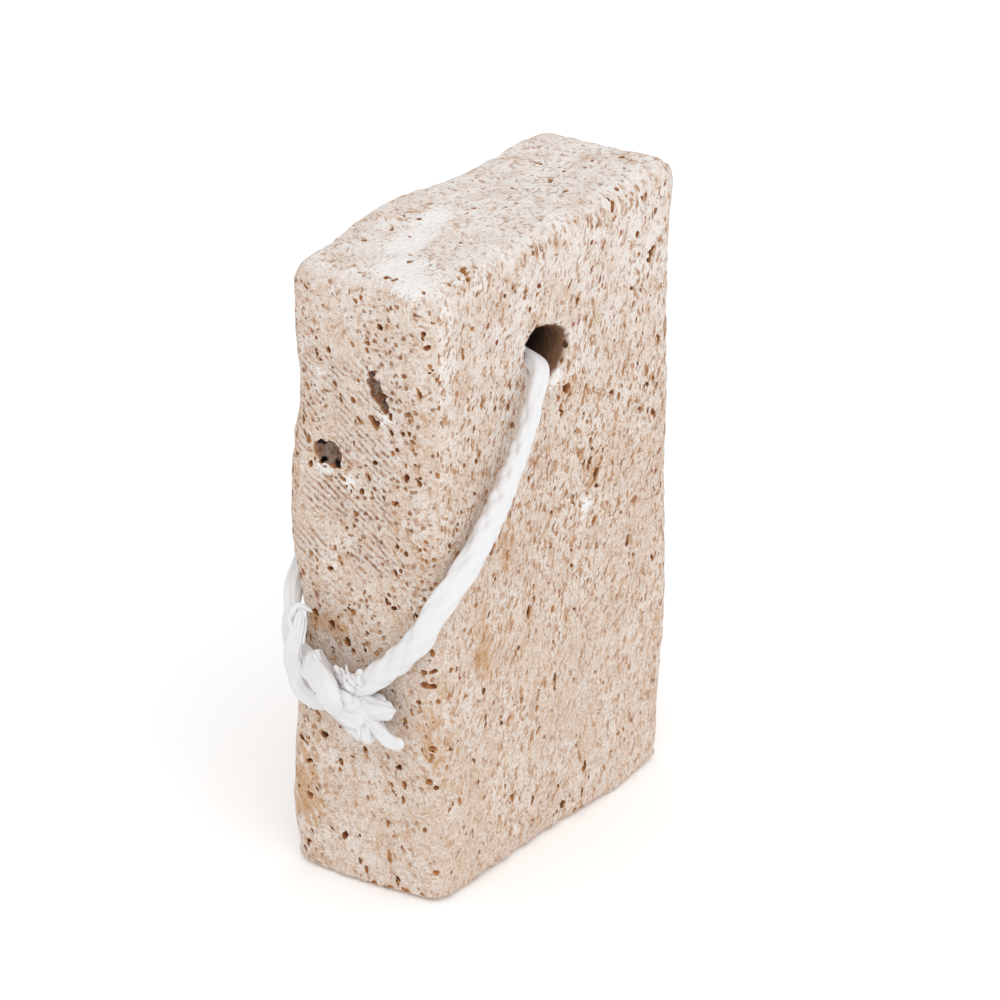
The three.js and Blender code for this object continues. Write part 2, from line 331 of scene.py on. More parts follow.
def pickedCutters(surface):  # place, size and turn of every cutter that isn't scattered
    draws = random.Random(chips["seed"])
    cutters = []

    def pit(face, a, b, width, height, lean, depth, lobes):
        angle = math.radians(lean)
        for lobe in range(lobes):
            around = pitShape["turn"] * lobe + draws.uniform(-0.3, 0.3)  # spread over the pit like seeds
            reach = math.sqrt((lobe + 0.3) / lobes) * 0.5 if lobes > 1 else 0
            across, shorter = pitShape["spread"]
            u = math.cos(around) * reach * width * across
            v = math.sin(around) * reach * (height - shorter * width)
            acrossBy = u * math.cos(angle) + v * math.sin(angle)
            upBy = v * math.cos(angle) - u * math.sin(angle)
            place, out = onSurface(surface, face, a + acrossBy, b + upBy)
            if place is None:
                continue
            size = width * (draws.uniform(*pitShape["width"]) if lobes > 1 else 1.0)
            tall = size * draws.uniform(*pitShape["height"]) if lobes > 1 else height
            turn = Vector((angle, 0, 0)) if face == "left" else Vector((0, angle, 0))
            scale = [size, tall]
            scale.insert(("left", "front", "top").index(face), 2 * depth)
            cutters.append((place + out * pitShape["out"] * depth * mm, Vector(scale) * mm, turn))

    def chip(place, least, most):
        width = draws.uniform(least, most)
        scale = Vector([width * draws.uniform(0.7, 1.3) * mm for _ in range(3)])
        cutters.append((place, scale, Vector([draws.uniform(0, 3) for _ in range(3)])))

    def chipTowards(start, target, least, most):  # where that way in meets the block
        way = (target - start).normalized()
        place = surface.ray_cast(start, way)[0]
        if place:
            chip(place - way * chips["sunk"], least, most)

    for face, rows in pits.items():
        for row in rows:
            pit(face, *row)
    low, high = stoneLow / mm, stoneHigh / mm
    number, least, most = chips["foot"]
    for _ in range(number):  # ragged lower edges
        face = draws.choice(("front", "front", "left", "back", "right"))
        axis = 0 if face in ("front", "back") else 1
        side = draws.uniform(low[axis] + 2, high[axis] - 2)
        place, out = onSurface(surface, face, side, draws.uniform(0.7, 1.4))
        if place:
            place = Vector((place.x, place.y, draws.uniform(*chips["footHeights"]) * mm))
            chip(place + out * chips["footOut"] * mm, least, most)
    number, least, most = chips["upright"]
    for _ in range(number):  # small notches down the four upright edges
        for x, y in ((x, y) for x in (low.x, high.x) for y in (low.y, high.y)):
            start = Vector((x * 1.2, y * 1.4, draws.uniform(*chips["uprightHeights"]))) * mm
            inner = (x * 0.93 + draws.uniform(-2, 2), y * 0.84 + draws.uniform(-2, 2), start.z / mm)
            chipTowards(start, Vector(inner) * mm, least, most)
    number, least, most = chips["top"]
    for _ in range(number):  # and round the top
        x, y = draws.choice(
            (
                (draws.uniform(low.x, high.x), high.y),
                (draws.uniform(low.x, high.x), high.y),
                (high.x, draws.uniform(low.y, high.y)),
            )
        )
        start = Vector((x * 1.1, y * 1.1, high.z + 2)) * mm
        chipTowards(start, Vector((x * 0.93, y * 0.86, high.z - 1.6)) * mm, least, most)
    number, least, most = chips["rim"]
    for _ in range(number):  # crumbled rim of the hole, most of it above
        angle = math.radians(draws.uniform(*chips["rimTurn"]))
        for y, inward in ((stoneLow.y, 1), (stoneHigh.y, -1)):
            lip = lipAt(math.cos(angle), math.sin(angle))
            further, some = chips["rimReach"]
            reach = bore["radius"] + (further - lip + draws.uniform(-some, some)) * mm
            place = Vector((bore["x"] + math.cos(angle) * reach, y, bore["z"] + math.sin(angle) * reach))
            chip(place + Vector((0, inward * draws.uniform(*chips["rimDeep"]) * mm, 0)), least, most)
    points = bpy.data.meshes.new("pickedCutters")
    points.from_pydata([c[0] for c in cutters], [], [])
    for column, name in ((1, "cutterSize"), (2, "cutterTurn")):
        points.attributes.new(name, "FLOAT_VECTOR", "POINT").data.foreach_set(
            "vector", [value for c in cutters for value in c[column]]
        )
    return newPiece("pickedCutters", points)


def socketsOf(tree, ends, names):
    for name, kind in names.items():
        tree.interface.new_socket(name, in_out=ends, socket_type="NodeSocket" + kind)


def lumpyBalls(tree, facets):  # a few uneven balls as instances, each pore takes one of them
    add = partial(addNode, tree)
    shapes = add("GeometryNodeJoinGeometry")
    for variant in range(poreShape["variants"]):
        ball = add("GeometryNodeMeshIcoSphere", {"Radius": 0.5, "Subdivisions": facets})
        inputs = {"W": 3.7 * variant, "Scale": poreShape["lumpScale"], "Detail": 1.0}
        lump = add("TexNoise", inputs, noise_dimensions="4D").outputs["Color"]
        centred = add("VectorMath", [lump, (0.5,) * 3], operation="SUBTRACT")
        push = add("VectorMath", [centred, poreShape["lumps"]], operation="SCALE")
        bent = add("GeometryNodeSetPosition", {"Geometry": ball, "Offset": push})
        one = add("GeometryNodeGeometryToInstance", [bent])
        tree.links.new(one.outputs[0], shapes.inputs[0])
    return shapes


poreInputs = {  # the columns of poreSizes, each with its kind and its unit
    "Density": ("Float", 1e4),
    "Group": ("Int", 1),
    "Least Width": ("Float", mm),
    "Most Width": ("Float", mm),
    "Least Stretch": ("Float", 1),
    "Most Stretch": ("Float", 1),
    "Facets": ("Int", 1),
    "Seed": ("Int", 1),
}


def cutterTree():
    tree = bpy.data.node_groups.new("poresOfOneSize", "GeometryNodeTree")
    socketsOf(tree, "INPUT", {"Block": "Geometry", "Flow": "Vector"})
    socketsOf(tree, "INPUT", {name: kind for name, (kind, _) in poreInputs.items()})
    socketsOf(tree, "OUTPUT", {"Cutters": "Geometry"})
    add = partial(addNode, tree)
    plus, times, scale = ({"operation": name} for name in ("ADD", "MULTIPLY", "SCALE"))
    given = add("NodeGroupInput").outputs
    jitter, spread = poreShape["jitter"], poreShape["spread"]
    drawn = {}  # what is drawn for each pore: its least and most
    for seed, (name, least, most, kind) in enumerate(
        (
            ("rarity", 0.0, 1.0, "FLOAT"),
            ("stretch", given["Least Stretch"], given["Most Stretch"], "FLOAT"),
            ("flatness", *poreShape["flatness"], "FLOAT"),
            ("lean", (-jitter,) * 3, (jitter,) * 3, "FLOAT_VECTOR"),
            ("spin", 0.0, 6.28, "FLOAT"),
            ("sink", *poreShape["sink"], "FLOAT"),
            ("shape", 0, poreShape["variants"] - 1, "INT"),
            ("amount", 1, given["Group"], "INT"),
            ("aside", (-spread,) * 3, (spread,) * 3, "FLOAT_VECTOR"),
        ),
        start=1,
    ):
        inputs = {"Min": least, "Max": most, "Seed": seed}
        drawn[name] = add("FunctionNodeRandomValue", inputs, data_type=kind)
    crowding = add("GeometryNodeInputNamedAttribute", ["crowding"], data_type="FLOAT")
    dense = add("Math", [given["Density"], crowding], **times)
    scatter = add(
        "GeometryNodeDistributePointsOnFaces",
        {"Mesh": given["Block"], "Density": dense, "Seed": given["Seed"]},
    )
    # width: most pores are near the least
    rare = add("Math", [drawn["rarity"], poreShape["rarity"]], operation="POWER")
    span = add("Math", [given["Most Width"], given["Least Width"]], operation="SUBTRACT")
    width = add("Math", [given["Least Width"], add("Math", [rare, span], **times)], **plus)
    deep, tall = (add("Math", [width, drawn[name]], **times) for name in ("flatness", "stretch"))
    size = add("CombineXYZ", [width, deep, tall])
    # turned along the flow, more or less, and spun about it
    lean = add("VectorMath", [given["Flow"], drawn["lean"]], **plus)
    turned = add("FunctionNodeAlignRotationToVector", {"Vector": lean}, axis="Z")
    spin = add("FunctionNodeAxisAngleToRotation", [(0, 0, 1), drawn["spin"]])
    turned = add("FunctionNodeRotateRotation", [turned, spin], rotation_space="LOCAL")
    # a group of pores follows the flow from where it starts
    amount = {"Geometry": scatter, "Amount": drawn["amount"]}
    several = add("GeometryNodeDuplicateElements", amount, domain="POINT")
    number = several.outputs["Duplicate Index"]
    aside = add("VectorMath", [drawn["aside"], width], **scale)
    further = add("Math", [number, add("Math", [width, 0.5], **times)], **times)
    follow = add("VectorMath", [given["Flow"], further], **scale)
    away = add("VectorMath", [aside, follow], **plus)
    away = add("VectorMath", [away, add("Math", [number, 0.5], operation="GREATER_THAN")], **scale)
    sink = add("Math", [width, drawn["sink"]], **times)
    sunk = add("VectorMath", [scatter.outputs["Normal"], sink], **scale)
    move = add("VectorMath", [away, sunk], **plus)
    placed = add(
        "GeometryNodeInstanceOnPoints",
        {
            "Points": add("GeometryNodeSetPosition", {"Geometry": several, "Offset": move}),
            "Instance": lumpyBalls(tree, given["Facets"]),
            "Pick Instance": True,
            "Instance Index": drawn["shape"],
            "Rotation": turned,
            "Scale": size,
        },
    )
    add("NodeGroupOutput", [placed])
    return tree


def poreTree():
    ofOneSize = cutterTree()
    tree = bpy.data.node_groups.new("poresInStone", "GeometryNodeTree")
    shared = {"Block": "Geometry", "Picked": "Object", "Flow": "Vector", "Material": "Material"}
    socketsOf(tree, "INPUT", shared)
    for size in poreSizes:
        socketsOf(tree, "INPUT", {f"{size} {name}": kind for name, (kind, _) in poreInputs.items()})
    socketsOf(tree, "OUTPUT", {"Stone": "Geometry"})
    add = partial(addNode, tree)
    given = add("NodeGroupInput").outputs
    cutters = add("GeometryNodeJoinGeometry")
    for size in poreSizes:
        group = tree.nodes.new("GeometryNodeGroup")
        group.node_tree = ofOneSize
        for socket in group.inputs:
            name = f"{size} {socket.name}" if socket.name in poreInputs else socket.name
            tree.links.new(given[name], socket)
        tree.links.new(group.outputs[0], cutters.inputs[0])
    picked = add("GeometryNodeObjectInfo", [given["Picked"]]).outputs["Geometry"]
    size, turn = (
        add("GeometryNodeInputNamedAttribute", [name], data_type="FLOAT_VECTOR")
        for name in ("cutterSize", "cutterTurn")
    )
    placed = add(
        "GeometryNodeInstanceOnPoints",
        {
            "Points": add("GeometryNodeMeshToPoints", [picked]),
            "Instance": lumpyBalls(tree, 2),
            "Pick Instance": True,
            "Instance Index": add("FunctionNodeRandomValue", [0, poreShape["variants"] - 1], data_type="INT"),
            "Rotation": add("FunctionNodeEulerToRotation", [turn]),
            "Scale": size,
        },
    )
    tree.links.new(placed.outputs[0], cutters.inputs[0])
    cut = add("GeometryNodeMeshBoolean", [given["Block"], cutters], operation="DIFFERENCE", solver="MANIFOLD")
    plain = add("GeometryNodeRealizeInstances", [cut])
    add(
        "NodeGroupOutput",
        [add("GeometryNodeSetMaterial", {"Geometry": plain, "Material": given["Material"]})],
    )
    return tree


def setInputs(modifier, values):
    for item in modifier.node_group.interface.items_tree:
        if item.item_type == "SOCKET" and item.in_out == "INPUT" and item.name in values:
            modifier[item.identifier] = values[item.name]


def patchesOn(places):  # how far each vertex is inside each kind of patch, 1 in the middle and 0 outside
    out = {}
    for kind, spots in patches.items():
        inside = [1 - np.linalg.norm((places / mm - middle) / radii, axis=1) for middle, radii in spots]
        out[kind] = np.clip(np.max(inside, axis=0), 0, 1)
    return out


# The bake map: each side of the stone flat and to one scale, and the wall of the hole unrolled. The corner of
# each in mm, on a square this many mm wide.
bakeSheet = {
    "width": 166.0,
    "wall": (1.2 * mm, 1.0 * mm),  # the hole's wall is within this of its radius, and further in than this
    "corners": {
        "front": (2, 2),
        "back": (67, 2),
        "left": (132, 2),
        "right": (2, 108),
        "bore": (108, 108),
        "top": (2, 138),
        "foot": (67, 138),
    },
}


def setBakeMap(mesh, places):
    corner = np.empty(len(mesh.loops), np.int32)
    mesh.loops.foreach_get("vertex_index", corner)
    counts = np.array([p.loop_total for p in mesh.polygons])
    centres = np.empty(len(mesh.polygons) * 3)
    mesh.polygons.foreach_get("center", centres)
    centres = centres.reshape(-1, 3)
    low, high = np.array(stoneLow), np.array(stoneHigh)
    gaps = np.column_stack([centres - low, high - centres])
    side = np.argmin(gaps, axis=1)  # in the order of flat, below
    away = np.hypot(centres[:, 0] - bore["x"], centres[:, 2] - bore["z"])
    outside, inwards = bakeSheet["wall"]
    side[(away < bore["radius"] + outside) & (np.minimum(gaps[:, 1], gaps[:, 4]) > inwards)] = 6
    side = np.repeat(side, counts)
    x, y, z = ((places[corner] - low) / mm).T
    angle = np.arctan2(places[corner, 2] - bore["z"], places[corner, 0] - bore["x"])
    start = np.repeat(np.arctan2(centres[:, 2] - bore["z"], centres[:, 0] - bore["x"]), counts)
    angle += 2 * math.pi * np.round((start - angle) / (2 * math.pi))  # faces across the cut stay whole
    unrolled = (angle + math.pi) * bore["radius"] / mm
    flat = {
        "left": (y, z),
        "front": (x, z),
        "foot": (x, y),
        "right": (z, y),
        "back": (x, z),
        "top": (x, y),
        "bore": (unrolled, y),
    }
    bake = np.zeros((len(corner), 2))
    for index, (name, (u, v)) in enumerate(flat.items()):
        here = side == index
        bake[here] = np.column_stack([u, v])[here] + bakeSheet["corners"][name]
    layer = mesh.uv_layers.new(name="OFBake")
    layer.uv.foreach_set("vector", (bake / bakeSheet["width"]).astype(np.float32).ravel())


def makeStone(material):
    piece = makeBlock()
    print("block:", len(piece.data.polygons), "faces")
    normals = np.abs([v.normal[:] for v in piece.data.vertices])
    high = coordinates(piece.data)[:, 2] / stoneHigh.z
    share = normals[:, 0] * crowd["narrow"] + normals[:, 1] * crowd["wide"] + normals[:, 2] * crowd["top"]
    share = share / np.sum(normals, axis=1) * (1 + crowd["towardsTop"] * (high - 0.5))
    setFloat(piece.data, "crowding", share)
    surface = BVHTree.FromObject(piece, bpy.context.evaluated_depsgraph_get())
    piece.data.materials.clear()
    piece.data.materials.append(material)
    picked = pickedCutters(surface)
    modifier = piece.modifiers.new("pores", "NODES")
    modifier.node_group = poreTree()
    values = {"Picked": picked, "Flow": flow, "Material": material}
    for size, row in poreSizes.items():
        for value, (name, (_, unit)) in zip(row, poreInputs.items()):
            values[f"{size} {name}"] = value * unit
    setInputs(modifier, values)
    applied(piece)
    bpy.data.meshes.remove(picked.data)
    mesh = piece.data
    places = coordinates(mesh)
    # how far each point lies below the uncut block; deep down the colour is painted shade
    setFloat(mesh, "depth", [surface.find_nearest(v.co)[3] for v in mesh.vertices])
    for name, inside in patchesOn(places).items():
        setFloat(mesh, name, inside)
    # painted shade in the hole, darker the further in from each face
    away = np.hypot(places[:, 0] - bore["x"], places[:, 2] - bore["z"])
    under = np.minimum(places[:, 1] - stoneLow.y, stoneHigh.y - places[:, 1])
    first, second = (np.clip((under - start) / run, 0, 1) for start, run in bore["boreShadeSteps"])
    first = first * (away < bore["radius"] + bore["wall"])
    setFloat(mesh, "boreShade", first + second * (first > 0))
    setBakeMap(mesh, places)
    mesh.shade_smooth()
    mesh.set_sharp_from_angle(angle=math.radians(42))
    print("stone:", sum(len(p.vertices) - 2 for p in mesh.polygons), "triangles")
    return piece, surface


# Volcanic glass foam, sawn and worn: matt, with no gloss anywhere. Between the pores the eye sees pale walls
# of crushed glass, flecked with pores too fine to model, and inside all of them iron-stained orange brown.
# Painted in: highlights on the raised grains, and shade between them, deep in the pores and in the hole.
pumiceLook = {
    "colours": {
        "pale": "#e6dad1",
        "mid": "#dac7b8",
        "tan": "#cba885",
        "crushed": "#f3ece7",  # the brightest grains, partly a painted highlight on the raised ones
        "shade": "#b3957c",  # the hollows between grains
        "fleck": "#c08a58",
        "fleckDeep": "#8b5330",
        "rust": "#ad6a3a",
        "umber": "#7d5138",
        # painted shade deep in the pores
        "poreShade": "#40271a",
        "chalk": "#f6f3f1",
        "stain": "#c3935f",
        "grey": "#93857a",
        # painted shade in the deepest pits
        "pitShade": "#1f1713",
        # painted shade in the hole: on its wall, and darker deeper in
        "wallInBore": "#7f5c44",
        "deepInBore": "#3b281d",
    },
    "blotch": 8.0,  # mm, size of the larger patches of tone
    "streak": 0.9,  # mm across, drawn out along the flow
    "grain": 0.42,  # mm, crushed glass, with painted highlights on it and painted shade between
    "powder": 4.0,  # mm, drifts of sawn dust
    "rough": 0.9,  # mm, broken walls between the pores
    # mm across, where in the noise a fleck starts, how fast it deepens, its depth in mm
    "flecks": [(0.95, 0.565, 0.17, 0.22), (0.5, 0.56, 0.18, 0.12)],
    "drawnOut": 2.9,  # how many times as long as wide they are
    "sawMarks": {
        "apart": 1.05,  # mm, as are the next three
        "width": 0.5,
        "deep": 0.12,
        "gaps": 6.0,
        "length": 1.7,  # times their width
        "up": (0, -0.52, 0.855),  # the way across them
        "along": (0, 0.855, 0.52),
    },
    "roundPores": {"apart": 1.05, "widest": 0.42, "deep": 0.3},  # mm, radius as a share of that, mm
    "roughness": 0.92,
    "gloss": 0.3,
}


def pumice():
    look = pumiceLook
    material = bpy.data.materials.new("sawnPumice")
    material.use_nodes = True
    tree = material.node_tree
    tree.nodes.clear()
    add = partial(addNode, tree)
    plus, minus, times = ({"operation": name} for name in ("ADD", "SUBTRACT", "MULTIPLY"))
    larger = {"operation": "MAXIMUM"}
    smooth = {"interpolation_type": "SMOOTHSTEP"}  # 0 up to the first value, 1 from the second on
    colour = {"data_type": "RGBA"}
    hue = {name: linear(code) for name, code in look["colours"].items()}
    painted = {
        name: add("Attribute", attribute_name=name).outputs["Fac"]
        for name in ("stain", "chalk", "dust", "grey", "pitShade", "depth", "boreShade")
    }

    inMm = add("VectorMath", [add("TexCoord").outputs["Object"], 1000.0], operation="SCALE")
    facing = add("SeparateXYZ", [add("NewGeometry").outputs["Normal"]]).outputs
    where = add("SeparateXYZ", [inMm]).outputs
    lump = add("TexNoise", [inMm, 1 / 1.1, 1.0, 0.55]).outputs["Color"]
    warp = add("VectorMath", [lump, (1.1,) * 3, (-0.55,) * 3], operation="MULTIPLY_ADD")
    bent = add("VectorMath", [inMm, warp], **plus)
    flowTurn = flow.to_track_quat("Z", "Y").to_euler()
    marks = look["sawMarks"]
    markTurn = Vector(marks["along"]).to_track_quat("Z", "Y").to_euler()
    straight, drawn, alongMarks = (  # the same place, drawn out along the flow or along the saw marks
        add("Mapping", {"Vector": place, "Rotation": turn, "Scale": (1, 1, length)}, vector_type="TEXTURE")
        for place, turn, length in (
            (inMm, flowTurn, 4.0),
            (bent, flowTurn, look["drawnOut"]),
            (inMm, markTurn, marks["length"]),
        )
    )
    blotch, streak, grain, rough, powder, gaps, dashes = (
        add("TexNoise", [place, 1 / size, detail, roughness])
        for place, size, detail, roughness in (
            (inMm, look["blotch"], 3.0, 0.55),
            (straight, look["streak"], 3.0, 0.65),
            (inMm, look["grain"], 2.0, 0.7),
            (bent, look["rough"], 3.0, 0.6),
            (inMm, look["powder"], 3.0, 0.55),
            (inMm, marks["gaps"], 1.0, 0.55),
            (alongMarks, marks["width"], 1.0, 0.55),
        )
    )

    # random tone, then bright crushed grains, partly painted highlight on the raised ones, and painted shade
    # between them
    tone = hue["mid"]
    for pattern, low, high, most, name in (
        (blotch, 0.35, 0.68, 1.0, "pale"),
        (streak, 0.45, 0.7, 0.8, "tan"),
        (grain, 0.52, 0.68, 0.7, "crushed"),
        (grain, 0.46, 0.30, 0.6, "shade"),
    ):
        share = add("MapRange", [pattern, low, high, 0.0, most], **smooth)
        tone = add("Mix", [share, tone, hue[name]], **colour)

    # stains, with edges broken up along the flow
    uneven = add("Math", [streak, 0.5], **minus)
    stained = add("Math", [painted["stain"], add("Math", [uneven, 2.2], **times)], **plus)
    stained = add("MapRange", [stained, 0.2, 0.75], **smooth)
    stained = add("Math", [stained, add("MapRange", [painted["stain"], 0.0, 0.3], **smooth)], **times)
    tone = add("Mix", [add("Math", [stained, 0.6], **times), tone, hue["stain"]], **colour)

    # chalky patches, and the sawn dust that still lies on the top, down the upper part and in dusty places
    edge = add("MapRange", [grain, 0.3, 0.7, -0.28, 0.28], **smooth)
    chalk = add("MapRange", [add("Math", [painted["chalk"], edge], **plus), 0.25, 0.42], **smooth)
    chalk = add("Math", [chalk, add("MapRange", [painted["chalk"], 0.0, 0.25], **smooth)], **times)
    peak = stoneHigh.z / mm
    upwards = add("MapRange", [facing["Z"], 0.3, 0.8], **smooth)
    top = add("Math", [upwards, add("MapRange", [where["Z"], peak - 4, peak - 2], **smooth)], **times)
    endOn = add("Math", [facing["X"]], operation="ABSOLUTE")
    upper = add("MapRange", [where["Z"], 55.0, 100.0, 0.0, 0.55], **smooth)
    upper = add("Math", [upper, add("MapRange", [endOn, 0.4, 0.9, 1.0, 0.35], **smooth)], **times)
    dust = add("Math", [painted["dust"], add("Math", [edge, 0.6], **times)], **plus)
    dust = add("MapRange", [dust, 0.1, 0.6, 0.0, 0.6], **smooth)
    for share, low, high, least, most in (
        (top, 0.2, 0.6, 0.1, 0.72),
        (upper, 0.3, 0.6, 0.0, 1.0),
        (dust, 0.25, 0.55, 0.0, 1.0),
    ):
        lying = add("MapRange", [powder, low, high, least, most], **smooth)
        chalk = add("Math", [chalk, add("Math", [share, lying], **times)], **larger)
    tone = add("Mix", [add("Math", [chalk, 0.9], **times), tone, hue["chalk"]], **colour)

    # how plainly the flecks show: less under dust, low down and on the top
    plain = add("Math", [1.0, add("Math", [chalk, 0.5], **times)], **minus)
    for share in (
        add("MapRange", [painted["chalk"], 0.15, 0.5, 1.0, 0.25], **smooth),
        add("MapRange", [where["Z"], 5.0, 75.0, 0.6, 1.0], **smooth),
        add("Math", [1.0, add("Math", [top, 0.2], **times)], **minus),
    ):
        plain = add("Math", [plain, share], **times)
    height = add("Math", [grain, 0.32], **times)
    height = add("Math", [height, add("Math", [rough, 0.35], **times)], **plus)
    height = add("Math", [height, add("Math", [streak, 0.12], **times)], **minus)

    # flecks drawn out along the flow, rounder on the narrow sides, which cut across it
    sideways = add("MapRange", [endOn, 0.45, 0.85], **smooth)
    mostly = add("Math", [sideways, 0.75], **times)
    drawn = add("Mix", [mostly, drawn, bent], data_type="VECTOR")
    ease = add("Math", [add("Math", [blotch, 0.5], **minus), 0.12], **times)
    fewer = add("Math", [1.0, add("Math", [sideways, 0.45], **times)], **minus)
    drawnShare = add("Math", [plain, fewer], **times)
    for size, start, run, deep in look["flecks"]:
        spots = add("Math", [add("TexNoise", [drawn, 1 / size, 1.5, 0.5]), ease], **plus)
        rim = add("MapRange", [spots, start, start + run * 0.7], **smooth)
        rim = add("Math", [rim, drawnShare], **times)
        core = add("MapRange", [spots, start + run * 0.55, start + run * 1.3], **smooth)
        core = add("Math", [core, drawnShare], **times)
        tone = add("Mix", [add("Math", [rim, 0.85], **times), tone, hue["fleck"]], **colour)
        tone = add("Mix", [core, tone, hue["fleckDeep"]], **colour)
        height = add("Math", [height, add("Math", [rim, deep], **times)], **minus)
    pores = look["roundPores"]
    ragged = add("TexNoise", [inMm, 1 / 0.7, 2.0, 0.55]).outputs["Color"]
    ragged = add("VectorMath", [ragged, (0.9,) * 3, inMm], operation="MULTIPLY_ADD")
    cells = add("TexVoronoi", [ragged, 1 / pores["apart"]]).outputs
    chance = add("SeparateColor", [cells["Color"]])
    spots = add("MapRange", [chance, 0.35, 1.0, 0.0, pores["widest"]], **smooth)
    spots = add("Math", [spots, cells["Distance"]], **minus)
    spots = add("MapRange", [spots, -0.03, 0.16], **smooth)
    spots = add("Math", [spots, add("Math", [sideways, plain], **times)], **times)
    tone = add("Mix", [add("Math", [spots, 0.9], **times), tone, hue["fleck"]], **colour)
    shaded = add("MapRange", [spots, 0.45, 1.0], **smooth)
    shaded = add("Math", [shaded, add("MapRange", [streak, 0.4, 0.6, 0.25, 0.9], **smooth)], **times)
    tone = add("Mix", [shaded, tone, hue["fleckDeep"]], **colour)
    height = add("Math", [height, add("Math", [spots, pores["deep"]], **times)], **minus)

    # saw marks slantwise across the narrow side with the knot, in broken furrows
    up = add("VectorMath", [inMm, marks["up"]], operation="DOT_PRODUCT")
    wave = add("Math", [up, 2 * math.pi / marks["apart"]], **times)
    wave = add("Math", [wave, add("Math", [blotch, 9.0], **times)], **plus)
    wave = add("Math", [wave], operation="SINE")
    onNarrow = add("MapRange", [facing["X"], -0.6, -0.9], **smooth)
    for pattern, low, high in (
        (where["Y"], -9.0, -4.0),
        (where["Z"], 46.0, 56.0),
        (where["Z"], 92.0, 82.0),
        (gaps, 0.36, 0.56),
    ):
        onNarrow = add("Math", [onNarrow, add("MapRange", [pattern, low, high], **smooth)], **times)
    furrow = add("MapRange", [wave, 0.25, 0.95], **smooth)
    furrow = add("Math", [furrow, add("MapRange", [dashes, 0.43, 0.57], **smooth)], **times)
    ridge = add("MapRange", [wave, 0.0, -0.8], **smooth)
    for line, share, name in ((ridge, 0.55, "pale"), (furrow, 0.75, "fleckDeep")):
        line = add("Math", [add("Math", [line, onNarrow], **times), share], **times)
        tone = add("Mix", [line, tone, hue[name]], **colour)
    wave = add("Math", [add("Math", [wave, onNarrow], **times), marks["deep"]], **times)
    height = add("Math", [height, wave], **minus)

    # inside the pores, by depth and less on the top: orange at the edge, then iron stained, then painted
    # shade deep down
    wobble = add("Math", [add("Math", [grain, 0.5], **minus), 0.22], **times)
    depth = add("Math", [add("Math", [painted["depth"], 1000.0], **times), wobble], **plus)
    shallower = add("Math", [1.0, add("Math", [top, 0.45], **times)], **minus)
    depth = add("Math", [depth, shallower], **times)
    iron = add("MapRange", [add("TexNoise", [inMm, 1 / 2.6, 2.0, 0.55]), 0.38, 0.62], **smooth)
    wall = add("Mix", [iron, hue["umber"], hue["rust"]], **colour)
    for low, high, inside in (
        (0.02, 0.18, hue["fleck"]),
        (0.16, 0.62, wall),
        (0.7, 1.5, hue["poreShade"]),
    ):
        tone = add("Mix", [add("MapRange", [depth, low, high], **smooth), tone, inside], **colour)
    greyed = add("MapRange", [rough, 0.42, 0.62], **smooth)
    greyed = add("Mix", [greyed, hue["grey"], hue["umber"]], **colour)
    # grey in some pits, and painted shade in the deepest ones
    for name, low, high, shallow, deep, most, inside in (
        ("grey", 0.02, 0.2, 0.15, 0.4, 0.9, greyed),
        ("pitShade", 0.05, 0.35, 0.2, 0.5, 1.0, hue["pitShade"]),
    ):
        share = add("MapRange", [painted[name], low, high, 0.0, most], **smooth)
        share = add("Math", [share, add("MapRange", [depth, shallow, deep], **smooth)], **times)
        tone = add("Mix", [share, tone, inside], **colour)
    # painted shade in the hole, darker the further in
    boreShade = add("Math", [painted["boreShade"], add("Math", [uneven, 0.8], **times)], **plus)
    boreShade = add("Math", [boreShade, add("MapRange", [painted["boreShade"], 0.0, 0.25], **smooth)], **times)
    for low, high, name in ((0.15, 0.7, "wallInBore"), (0.8, 1.5, "deepInBore")):
        share = add("MapRange", [boreShade, low, high], **smooth)
        tone = add("Mix", [share, tone, hue[name]], **colour)

    bump = add("Bump", {"Strength": 1.0, "Distance": 1.0 * mm, "Height": height})
    shader = add(
        "BsdfPrincipled",
        {
            "Base Color": tone,
            "Roughness": look["roughness"],
            "Specular IOR Level": look["gloss"],
            "Normal": bump,
        },
    )
    add("OutputMaterial", [shader])
    return material


stone, stoneSurface = makeStone(pumice())
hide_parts("stone")
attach(stone, "root")
print("stone done")

# The cord's middle line from its upper frayed end to its lower one: the front strand in the knot,
frontStrandInKnot = [
    (-0.0344, 0.0089, 0.0458), (-0.0356, 0.0090, 0.0437), (-0.0366, 0.0096, 0.0414),
    (-0.0365, 0.0107, 0.0389), (-0.0354, 0.0114, 0.0363), (-0.0344, 0.0115, 0.0338),
    (-0.0339, 0.0108, 0.0317), (-0.0335, 0.0092, 0.0305), (-0.0333, 0.0072, 0.0303),
    (-0.0332, 0.0045, 0.0315), (-0.0332, 0.0012, 0.0335), (-0.0335, -0.0018, 0.0357),
    (-0.0335, -0.0043, 0.0378), (-0.0333, -0.0062, 0.0396), (-0.0330, -0.0080, 0.0415),
]
